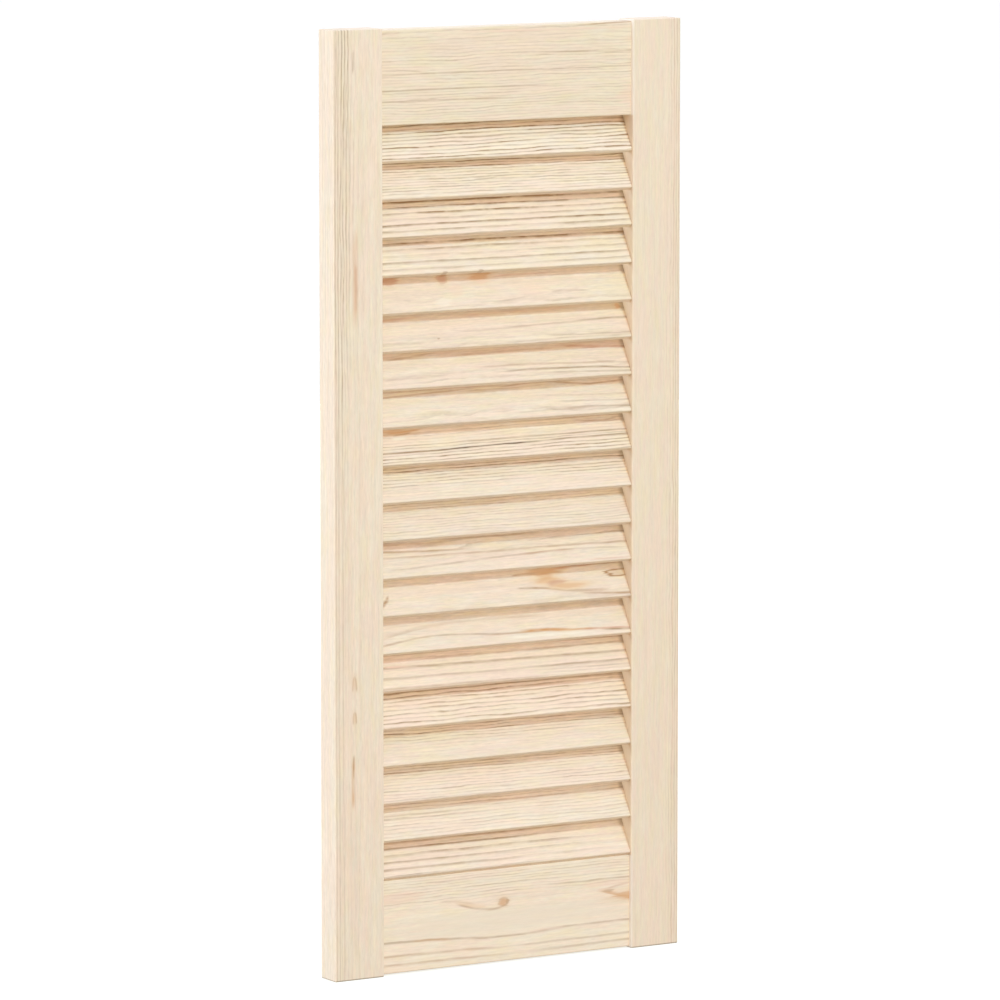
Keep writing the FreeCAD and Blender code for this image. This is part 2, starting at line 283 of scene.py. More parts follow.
def make_grain_group():
    """Growth rings about a pith, cut by the board's faces, with fibres and a little uneven colour."""
    inputs = {"Board": VECTOR, "Seed": VECTOR}
    for name in GRAIN_VALUES:
        inputs[name] = VALUE
    outputs = {"Colour": COLOUR, "Line": VALUE, "Fibre": VALUE, "Wander": VALUE}
    tree = start_group("pine grain", inputs, outputs)
    nodes = Nodes(tree)
    given = nodes.add("NodeGroupInput").outputs
    board, seed, contrast = given["Board"], given["Seed"], given["Contrast"]
    line, wander = add_rings(nodes, board, given)

    # Fibres, short dashes, fine streaks and resin flecks run along the board.
    fibre = nodes.noise_about_zero(nodes.stretch(board, FIBRES, seed), detail=3, roughness=0.6)
    dashes = nodes.noise_about_zero(nodes.stretch(board, DASHES, seed), detail=2)
    streaky = nodes.noise_about_zero(nodes.stretch(board, FINE_STREAKS, seed), detail=2)
    fleck = nodes.noise(nodes.stretch(board, FLECKS, seed), detail=1)
    fleck = nodes.times(nodes.fade(fleck, *FLECK_FADE), FLECK_STRENGTH)

    # Straw, pale and pink wood lie in patches drawn out along the board.
    blotch = nodes.noise(nodes.stretch(board, BLOTCHES, seed), detail=5, roughness=0.8)
    pink = nodes.plus(nodes.fade(blotch, *PINK_FADE), given["Pink"])
    patches = nodes.noise_about_zero(nodes.stretch(board, PATCHES, seed), detail=2)
    pale = nodes.maths("MULTIPLY_ADD", patches, nodes.times(contrast, PATCH_CONTRAST), given["Pale"])
    straw_or_pale = nodes.mix(pale, STRAW_WOOD, PALE_WOOD)
    colour = nodes.mix(nodes.times(pink, PINK_SHARE), straw_or_pale, PINK_WOOD)
    colour = nodes.mix(nodes.maths("MAXIMUM", line, fleck), colour, LATEWOOD)
    shade = nodes.plus(nodes.times(fibre, FIBRE_SHADE), nodes.times(streaky, STREAK_SHADE))
    shade = nodes.maths("MULTIPLY_ADD", dashes, DASH_SHADE, shade)
    lightness = nodes.maths("MULTIPLY_ADD", shade, contrast, given["Tone"])
    colour = nodes.mix(1, colour, nodes.join(lightness, lightness, lightness), blend="MULTIPLY")

    results = nodes.add("NodeGroupOutput").inputs
    nodes.feed(results["Colour"], colour)
    nodes.feed(results["Line"], line)
    nodes.feed(results["Fibre"], fibre)
    nodes.feed(results["Wander"], wander)
    return tree


GRAIN_GROUP = make_grain_group()


@dataclass
class Streak:
    """A single line along the grain, bent through three points (along, across).

    It fades out over its width to either side, or over below and above where they are given."""

    start: tuple
    middle: tuple
    end: tuple
    strength: float = 0.4
    colour: tuple = LATEWOOD
    width: float = 1
    below: float = None
    above: float = None

    def __post_init__(self):
        self.below = self.below or self.width
        self.above = self.above or self.width


@dataclass
class Knot:
    """A knot, or the slice of one: its middle (along, across), and half its length and width.

    strength, stain and rim are how strongly its core, its pale surround and its dark outline show."""

    middle: tuple
    half_size: tuple
    strength: float = 0.6
    stain: float = 0.3
    rim: float = 0
    lean: float = 0
    colour: tuple = KNOT


@dataclass
class Grain:
    """How one board was cut from the tree, in millimetres of the board.

    A latewood line crosses line_at at the board's middle. Lines are boldest at bold_at, and faint beyond
    bold_reach from there. Above shaded_above, where a slat lies in the shade of the board above, painted
    shade makes the grain stronger and tints its colour.
    The side shade value is how strongly painted shade darkens the inner side, more towards the foot; foot
    is the end it stands on.
    spread is how much wider, and as much fainter, its single lines are laid."""

    pith: tuple
    ring: float
    lines: float
    line_at: float = 0
    drift: float = 0
    wander: float = 1
    pink: float = 0
    pale: float = 0.5
    tone: float = 1
    contrast: float = 1
    bold_at: tuple = (0, 0)
    bold_reach: tuple = None
    shaded_above: float = None
    painted_side_shade: float = 0
    foot: float = None
    spread: float = 1
    streaks: list = field(default_factory=list)
    knots: list = field(default_factory=list)


@dataclass
class BoardKind:
    """A kind of board: the directions along it, across its face and through it, where its front face lies
    along the last of these, and half its width."""

    axes: tuple
    face: float
    half_width: float


RISE, RUN = math.sin(SLAT_ANGLE), math.cos(SLAT_ANGLE)
STILE = BoardKind(((0, 0, 1), (1, 0, 0), (0, 1, 0)), -STILE_THICKNESS / 2, STILE_WIDTH / 2)
RAIL = BoardKind(((1, 0, 0), (0, 0, 1), (0, -1, 0)), RAIL_THICKNESS / 2, RAIL_HEIGHT / 2)
SLAT = BoardKind(((1, 0, 0), (0, RUN, RISE), (0, -RISE, RUN)), SLAT_THICKNESS / 2, SLAT_WIDTH / 2)

# Where a knot's stain, core and rim fade, in half sizes of the knot, and how far wisps draw it out.
STAIN_FADE = (2.2, 0.8)
CORE_FADE = (1.2, 0.5)
RIM_INNER_FADE = (0.6, 1.0)
RIM_OUTER_FADE = (1.35, 1.0)
WISP_LENGTH = 1.6

# How lines lie in their rings, taper, and pale beyond a board's bold patch and on its narrow edges.
LINE_CREST = 0.9
STREAK_TAPER = 0.25
STREAK_WANDER = 0.5
BOLD_FADE = (1.3, 0.7)
FAINT_SHARE = 0.2
EDGE_FADE = 0.8
EDGE_LINES = 0.4
EDGE_CONTRAST = 2

# Painted shade on slats: where the board above casts its shadow, the grain is painted stronger and the
# colour tinted, and deep in the gaps the colour is darkened.
SHADE_FADE = 1.5
SHADE_CONTRAST = 1.6
SHADE_TINT = (0.996, 1.021, 1.081, 1)
# Painted shade deep in the gaps: how far up and along it reaches and how dark it gets.
GAP_SHADE_HEIGHT = 4
GAP_SHADE_LENGTH = 5
GAP_SHADE_END_GAP = 0.5
GAP_SHADE_TOP = 0.2
GAP_SHADE_END = 0.5

# Where stiles get painted shade on the inner side between slats, a painted highlight on the arris beside
# the rails and a painted shade line at the foot, in millimetres.
SIDE_SHADE_HEIGHTS = (260, -80)
SIDE_SHADE_LEAST = 0.4
SIDE_SHADE_REACH = (0.25, 0.05)
SIDE_SHADE_DEPTH = (1, 1.8)
OPENING_FADE = (1, -1)
ARRIS_HIGHLIGHT_FADE = (1.2, 0.6)
ARRIS_HIGHLIGHT_PEAK_FADE = (0.5, 0)
ARRIS_HIGHLIGHT_STRENGTH = (0.3, 0.95)
FOOT_SHADE_LINE = (1.2, 0.4)
FOOT_SHADE_DARKNESS = 0.6

# Every board's edges, paler from sanding and a painted highlight, and its sanded surface.
ARRIS_WIDTH = 1.6
EDGE_WEAR_AND_HIGHLIGHT = 0.3
ROUGHNESS = 0.62
LATEWOOD_ROUGHNESS = -0.12
FIBRE_ROUGHNESS = 0.16
SPECULAR = 0.3
LATEWOOD_RELIEF = 0.8
FIBRE_RELIEF = 0.35
BUMP_STRENGTH = 0.6
BUMP_DEPTH = 0.12 * MM

# How far apart the noise of one board and the next lies.
SEED_STEPS = (3.7, 11.3, 7.9)


class Board:
    """Sockets that tell where on a board a point lies, in millimetres, and how the board was cut."""

    def __init__(self, nodes, kind, middle, grain, number):
        self.nodes = nodes
        self.grain = grain
        self.face = kind.face
        self.half_width = kind.half_width
        self.seed = [step * number for step in SEED_STEPS]
        turn = Matrix(kind.axes)
        mapping = nodes.add("ShaderNodeMapping")
        nodes.feed(mapping.inputs["Vector"], nodes.add("ShaderNodeTexCoord").outputs["Object"])
        mapping.inputs["Rotation"].default_value = turn.to_euler()
        mapping.inputs["Scale"].default_value = (1 / MM, 1 / MM, 1 / MM)
        mapping.inputs["Location"].default_value = -(turn @ Vector(middle))
        self.point = mapping.outputs[0]
        self.along, self.across, self.depth = nodes.split(self.point)
        self.from_middle = nodes.maths("ABSOLUTE", self.across)
        self.from_middle_length = nodes.maths("ABSOLUTE", self.along)
        self.in_shade = None
        if grain.shaded_above is not None:
            shade_start, shade_end = grain.shaded_above - SHADE_FADE, grain.shaded_above + SHADE_FADE
            self.in_shade = nodes.fade(self.across, shade_start, shade_end)


def add_grain(board):
    """Rings and fibres of one board, fainter on its narrow edges and away from its bold patch."""
    nodes, grain = board.nodes, board.grain
    on_face = nodes.fade(board.from_middle, board.half_width, board.half_width - EDGE_FADE)
    lines = nodes.between(on_face, EDGE_LINES * grain.lines, grain.lines)
    if grain.bold_reach:
        aside = nodes.times(nodes.minus(board.along, grain.bold_at[0]), 1 / grain.bold_reach[0])
        above = nodes.times(nodes.minus(board.across, grain.bold_at[1]), 1 / grain.bold_reach[1])
        bold = nodes.fade(nodes.length(aside, above), *BOLD_FADE)
        lines = nodes.times(lines, nodes.between(bold, FAINT_SHARE, 1))
    contrast = nodes.between(on_face, EDGE_CONTRAST * grain.contrast, grain.contrast)
    if grain.shaded_above is not None:
        # Painted shade: the grain is painted stronger where the board above casts its shadow.
        stronger = nodes.between(board.in_shade, 1, SHADE_CONTRAST)
        lines = nodes.times(lines, stronger)
        contrast = nodes.times(contrast, stronger)

    rings = nodes.add("ShaderNodeGroup", node_tree=GRAIN_GROUP)
    across_pith, depth_pith = grain.pith
    radius = math.hypot(grain.line_at - across_pith, board.face - depth_pith)
    values = {
        "Board": board.point,
        "Seed": board.seed,
        "Pith across": across_pith,
        "Pith depth": depth_pith,
        "Drift": grain.drift,
        "Ring width": grain.ring,
        "Shift": LINE_CREST - radius / grain.ring,
        "Wander": grain.wander,
        "Lines": lines,
        "Pink": grain.pink,
        "Pale": grain.pale,
        "Tone": grain.tone,
        "Contrast": contrast,
    }
    for socket, value in values.items():
        nodes.feed(rings.inputs[socket], value)
    return rings.outputs


def lay_streak(board, across, uneven, streak, colour):
    """Paint one uneven line over the colour, bent through the streak's three points."""
    nodes, along, spread = board.nodes, board.along, board.grain.spread
    (x0, y0), (x1, y1), (x2, y2) = streak.start, streak.middle, streak.end
    slope = (y1 - y0) / (x1 - x0)
    bend = ((y2 - y0) / (x2 - x0) - slope) / (x2 - x1)
    from_start = nodes.minus(along, x0)
    from_middle = nodes.minus(along, x1)
    curve = nodes.times(nodes.times(from_start, from_middle), bend)
    rise = nodes.plus(nodes.times(from_start, slope), curve)
    aside = nodes.minus(nodes.minus(across, y0), rise)
    above, below = spread * streak.above, spread * streak.below
    mask = nodes.times(nodes.fade(aside, above, 0), nodes.fade(aside, -below, 0))
    soft = STREAK_TAPER * (x2 - x0)
    ends = nodes.times(nodes.fade(along, x0, x0 + soft), nodes.fade(along, x2, x2 - soft))
    mask = nodes.times(nodes.times(mask, ends), uneven)
    return nodes.mix(nodes.times(mask, streak.strength / spread), colour, streak.colour)


def lay_streaks(board, wander, colour):
    """Paint all of a board's single lines, which wander with its rings."""
    nodes = board.nodes
    across = nodes.plus(board.across, nodes.times(wander, STREAK_WANDER))
    spot = nodes.stretch(board.point, UNEVEN_LINES, board.seed)
    uneven = nodes.patchy(spot, 0.34, 0.62, low=0.6, high=1.1)
    for streak in board.grain.streaks:
        colour = lay_streak(board, across, uneven, streak, colour)
    return colour


def lay_knot(board, knot, colour):
    """Paint one knot over the colour, drawn out into wisps along the grain."""
    nodes = board.nodes
    (middle_along, middle_across), (half_length, half_width) = knot.middle, knot.half_size
    wisps = nodes.noise_about_zero(nodes.stretch(board.point, WISPS, board.seed), detail=2)
    above = nodes.minus(board.across, middle_across)
    aside = nodes.minus(nodes.minus(board.along, middle_along), nodes.times(above, knot.lean))
    aside = nodes.times(aside, 1 / half_length)
    aside = nodes.plus(aside, nodes.times(wisps, WISP_LENGTH))
    distance = nodes.length(aside, nodes.times(above, 1 / half_width))
    stain = nodes.times(nodes.fade(distance, *STAIN_FADE), knot.stain)
    colour = nodes.mix(stain, colour, STAIN)
    core = nodes.times(nodes.fade(distance, *CORE_FADE), knot.strength)
    colour = nodes.mix(core, colour, knot.colour)
    rim = nodes.times(nodes.fade(distance, *RIM_INNER_FADE), nodes.fade(distance, *RIM_OUTER_FADE))
    return nodes.mix(nodes.times(rim, knot.rim), colour, BROWN)


def paint_gap_shade(board, colour):
    """Painted shade: darken a slat deep in the gap, below the next slat and most of all at its ends."""
    nodes = board.nodes
    top = board.half_width
    near_top = nodes.times(nodes.fade(board.across, top - GAP_SHADE_HEIGHT, top), GAP_SHADE_TOP)
    end = OPENING_HALF_WIDTH - GAP_SHADE_END_GAP
    near_end = nodes.fade(board.from_middle_length, end - GAP_SHADE_LENGTH, end)
    corner = nodes.times(nodes.times(near_end, board.in_shade), GAP_SHADE_END)
    on_front = nodes.fade(board.depth, 0, board.face)
    gap_shade = nodes.times(nodes.maths("MAXIMUM", near_top, corner), on_front)
    return nodes.mix(gap_shade, colour, DARK_LINE)


def paint_inner_side_shade_and_highlight(board, colour):
    """Paint shade on a stile's inner side between slats, and a painted highlight on its arris beside the
    rails.
    """
    nodes = board.nodes
    from_side = nodes.plus(board.across, board.half_width)
    beyond_slats = nodes.minus(board.from_middle_length, OPENING_HALF_HEIGHT)
    beside_slats = nodes.fade(beyond_slats, *OPENING_FADE)
    on_side = nodes.times(nodes.fade(from_side, *SIDE_SHADE_REACH), board.grain.painted_side_shade)
    lower_down = nodes.between(nodes.fade(board.along, *SIDE_SHADE_HEIGHTS), SIDE_SHADE_LEAST, 1)
    behind_arris = nodes.fade(nodes.minus(board.depth, board.face), *SIDE_SHADE_DEPTH)
    inside = nodes.times(beside_slats, behind_arris)
    colour = nodes.mix(nodes.times(nodes.times(on_side, lower_down), inside), colour, SIDE_SHADE)

    # Painted highlight on the inner arris and side beside the rails.
    beside_rails = nodes.minus(1, beside_slats)
    on_arris = nodes.fade(from_side, *ARRIS_HIGHLIGHT_FADE)
    highlight = nodes.between(nodes.fade(from_side, *ARRIS_HIGHLIGHT_PEAK_FADE), *ARRIS_HIGHLIGHT_STRENGTH)
    highlight = nodes.times(nodes.times(highlight, on_arris), beside_rails)
    return nodes.mix(highlight, colour, ARRIS_HIGHLIGHT)


def paint_foot_shade(board, colour):
    """Painted shade: draw a dark line round the end that a board stands on."""
    nodes = board.nodes
    at_foot = nodes.fade(nodes.minus(board.along, board.grain.foot), *FOOT_SHADE_LINE)
    return nodes.mix(nodes.times(at_foot, FOOT_SHADE_DARKNESS), colour, DARK_LINE)


def pale_edges_and_highlight(board, colour):
    """Edges are a little paler than the faces: sanded wear, and a painted highlight along them."""
    nodes = board.nodes
    near_edge = nodes.fade(board.from_middle, board.half_width - ARRIS_WIDTH, board.half_width)
    return nodes.mix(nodes.times(near_edge, EDGE_WEAR_AND_HIGHLIGHT), colour, PALE_ARRIS)


def sand(nodes, shader, line, fibre):
    """A dull sanded surface, smoother and a little higher on the latewood."""
    roughness = nodes.maths("MULTIPLY_ADD", line, LATEWOOD_ROUGHNESS, ROUGHNESS)
    roughness = nodes.maths("MULTIPLY_ADD", fibre, FIBRE_ROUGHNESS, roughness)
    nodes.feed(shader.inputs["Roughness"], roughness)
    shader.inputs["Specular IOR Level"].default_value = SPECULAR
    bump = nodes.add("ShaderNodeBump")
    bump.inputs["Distance"].default_value = BUMP_DEPTH
    bump.inputs["Strength"].default_value = BUMP_STRENGTH
    relief = nodes.maths("MULTIPLY_ADD", fibre, FIBRE_RELIEF, nodes.times(line, LATEWOOD_RELIEF))
    nodes.feed(bump.inputs["Height"], relief)
    nodes.feed(shader.inputs["Normal"], bump.outputs[0])


def start_material(name):
    """Start a material, and return it with its nodes and its shader."""
    material = bpy.data.materials.new(name)
    material.use_nodes = True
    return material, Nodes(material.node_tree), material.node_tree.nodes["Principled BSDF"]


def make_pine(name, kind, middle, grain, number):
    """Make the material of one pine board, whose middle is given in millimetres."""
    material, nodes, shader = start_material(name)
    board = Board(nodes, kind, middle, grain, number)
    rings = add_grain(board)
    colour = rings["Colour"]
    if grain.shaded_above is not None:
        # Painted shade: the colour is tinted where the board above casts its shadow.
        colour = nodes.mix(board.in_shade, colour, SHADE_TINT, blend="MULTIPLY")
    colour = lay_streaks(board, rings["Wander"], colour)
    for knot in grain.knots:
        colour = lay_knot(board, knot, colour)
    if grain.shaded_above is not None:
        # Painted shade deep in the gaps between the slats.
        colour = paint_gap_shade(board, colour)
    if grain.painted_side_shade:
        # Painted shade on a stile's inner side, and a painted highlight on its arris beside the rails.
        colour = paint_inner_side_shade_and_highlight(board, colour)
    if grain.foot is not None:
        # Painted shade along the foot.
        colour = paint_foot_shade(board, colour)
    # Edges paler from sanding, with a painted highlight.
    nodes.feed(shader.inputs["Base Color"], pale_edges_and_highlight(board, colour))
    sand(nodes, shader, rings["Line"], rings["Fibre"])
    return material


# How often beech's flecks and shades repeat along and across, per metre, and how they show.
BEECH_FLECKS = (220, 1600)
BEECH_SHADES = (12, 180)
BEECH_FLECK_FADE = (0.56, 0.7)
BEECH_FLECK_SHARE = 0.6
BEECH_SHADE_SHARE = 0.3
BEECH_ROUGHNESS = (0.5, 0.7)
BEECH_BUMP = 0.1 * MM


def make_beech():
    """Make the material of the hidden dowels: plain beech with short dark flecks along X."""
    material, nodes, shader = start_material("beech_dowel")
    point = nodes.add("ShaderNodeTexCoord").outputs["Object"]
    flecks = nodes.noise(nodes.stretch(point, BEECH_FLECKS, (0, 0, 0)), detail=2)
    flecks = nodes.fade(flecks, *BEECH_FLECK_FADE)
    shade = nodes.noise(nodes.stretch(point, BEECH_SHADES, (5, 5, 5)), detail=3)
    colour = nodes.mix(nodes.times(flecks, BEECH_FLECK_SHARE), BEECH, BEECH_FLECK)
    colour = nodes.mix(nodes.times(shade, BEECH_SHADE_SHARE), colour, BEECH_FLECK)
    nodes.feed(shader.inputs["Base Color"], colour)
    nodes.feed(shader.inputs["Roughness"], nodes.between(shade, *BEECH_ROUGHNESS))
    bump = nodes.add("ShaderNodeBump")
    bump.inputs["Distance"].default_value = BEECH_BUMP
    nodes.feed(bump.inputs["Height"], flecks)
    nodes.feed(shader.inputs["Normal"], bump.outputs[0])
    return material


# Heights and looks that the slats share.
SLAT_VISIBLE_EDGE = 14.2
SLAT_SHADE = 6.5
SLAT_PINK = 0.4
QUARTER_PITH = (-60, -25)
FLAT_PITH_DEPTH = -38
SOFT_SPREAD = 1.25
SOFT_TONE = 0.965


def on_slat(along, height):
    """Place on a slat's face, from a height above its visible lower edge."""
    return (along, height - SLAT_VISIBLE_EDGE)


def slat_line(*points, **looks):
    """A line on a slat, through three points (along, height)."""
    start, middle, end = (on_slat(*point) for point in points)
    return Streak(start, middle, end, **looks)


def level_line(height, **looks):
    """A line along the whole of a slat, at one height, that fades out beyond its ends."""
    reach = 160
    return slat_line((-reach, height), (0, height), (reach, height), **looks)


def stile_line(at_foot, at_middle, at_top, **looks):
    """A line along the whole of a stile, by its places across it, that fades out beyond its ends."""
    reach = 700
    return Streak((-reach, at_foot), (0, at_middle), (reach, at_top), **looks)


def slat_knot(along, height, half_length, half_width, **looks):
    """A knot on a slat."""
    return Knot(on_slat(along, height), (half_length, half_width), **looks)


def quarter_sawn(spacing, lines, height, pink=SLAT_PINK, **looks):
    """A slat cut so that even lines run along its face, one of them at a height above its lower edge."""
    pith_across, pith_depth = QUARTER_PITH
    slant = -pith_across / math.hypot(pith_across, SLAT.face - pith_depth)
    line_at = height - SLAT_VISIBLE_EDGE
    looks = dict(looks, line_at=line_at, pink=pink, shaded_above=SLAT_SHADE)
    return Grain(QUARTER_PITH, spacing * slant, lines, **looks)


def flat_sawn(pith_height, spacing, lines, pink=SLAT_PINK, **looks):
    """A slat cut so that its rings lie nearly along its face, with few or broad lines."""
    looks = dict(looks, pink=pink, tone=SOFT_TONE, shaded_above=SLAT_SHADE, spread=SOFT_SPREAD)
    return Grain((pith_height - SLAT_VISIBLE_EDGE, FLAT_PITH_DEPTH), spacing, lines, **looks)


